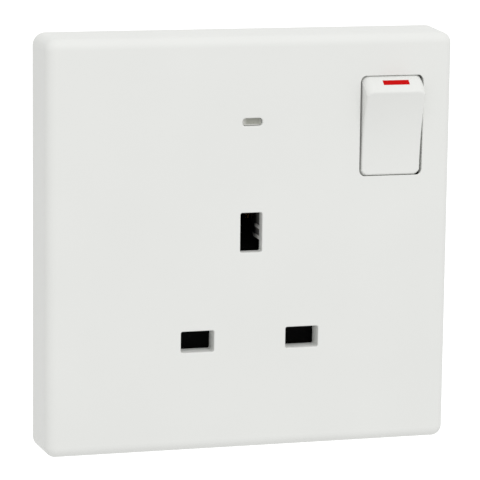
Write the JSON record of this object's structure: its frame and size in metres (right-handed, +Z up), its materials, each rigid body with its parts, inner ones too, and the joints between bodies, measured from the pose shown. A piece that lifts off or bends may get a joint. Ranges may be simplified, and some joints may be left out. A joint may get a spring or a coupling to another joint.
{
  "type": "switched wall socket",
  "caption": "Square screwless wall socket plate with shuttered openings for three flat pins, a rocker switch with a red mark, a neon window and rear screw terminals.",
  "frame": {"origin": "centre of the plate on the wall plane, midway between the two fixing holes", "axes": "+Z up on the wall, +X to the right seen from the front, +Y into the wall; the front face looks along -Y"},
  "size_m": [0.086, 0.0373, 0.086],
  "materials": {
    "cover_white": "moulded white urea, satin gloss",
    "lens_grey": "smoky translucent plastic",
    "lamp_glass": "clear glass envelope",
    "resistor_body": "lacquered film resistor",
    "lead_tinned": "tinned copper wire",
    "mark_red": "red inlay",
    "plunger_nylon": "natural nylon",
    "spring_steel": "bright spring wire",
    "shutter_black": "black moulded plastic",
    "frame_black": "black moulded plastic, fine grain",
    "contact_brass": "stamped brass",
    "tip_silver": "silver alloy rivet",
    "screw_brass": "turned brass screws",
    "housing_white": "white moulded plastic, fine grain",
    "screw_steel": "zinc plated steel"
  },
  "bodies": {
    "base": {"front_cover": "cover_white", "neon_lens": "lens_grey", "neon_lamp": "lamp_glass", "neon_resistor": "resistor_body", "neon_leads": "lead_tinned", "mounting_frame": "frame_black", "rear_housing": "housing_white", "housing_screws": "screw_steel", "live_contact": "contact_brass", "neutral_contact": "contact_brass", "earth_contact": "contact_brass", "fixed_contact": "contact_brass", "fixed_contact_tip": "tip_silver", "live_terminal": "contact_brass", "neutral_terminal": "contact_brass", "earth_terminal": "contact_brass", "terminal_screws": "screw_brass", "shutter_spring": "spring_steel"},
    "rocker": {"switch_rocker": "cover_white", "rocker_on_mark": "mark_red", "rocker_spring": "spring_steel"},
    "plunger": {"rocker_plunger": "plunger_nylon"},
    "seesaw": {"seesaw_contact": "contact_brass", "seesaw_contact_tip": "tip_silver"},
    "shutter": {"shutter": "shutter_black"}
  },
  "joints": [
    {"name": "rocker_tilt", "type": "hinge", "parent": "base", "child": "rocker", "pos_m": [0.02965, -0.0055, 0.0237], "axis": [-1, 0, 0], "range_deg": [0, 20.3]},
    {"name": "seesaw_tilt", "type": "hinge", "parent": "base", "child": "seesaw", "pos_m": [0.02965, 0.0112, 0.0237], "axis": [1, 0, 0], "range_deg": [0, 14.3]},
    {"name": "plunger_slide", "type": "slide", "parent": "rocker", "child": "plunger", "axis": [0, -0.9843, -0.1762], "range_m": [0, 0.0008], "stiffness_N_per_m": 500, "springref_m": -0.004, "deforming": ["rocker_spring"]},
    {"name": "shutter_slide", "type": "slide", "parent": "base", "child": "shutter", "axis": [0, 0, -1], "range_m": [0, 0.0053], "stiffness_N_per_m": 100, "springref_m": -0.003, "deforming": ["shutter_spring"]}
  ],
  "couplings": [
    {"joint": "seesaw_tilt", "follows": "rocker_tilt", "ratio": 0.70443}
  ]
}
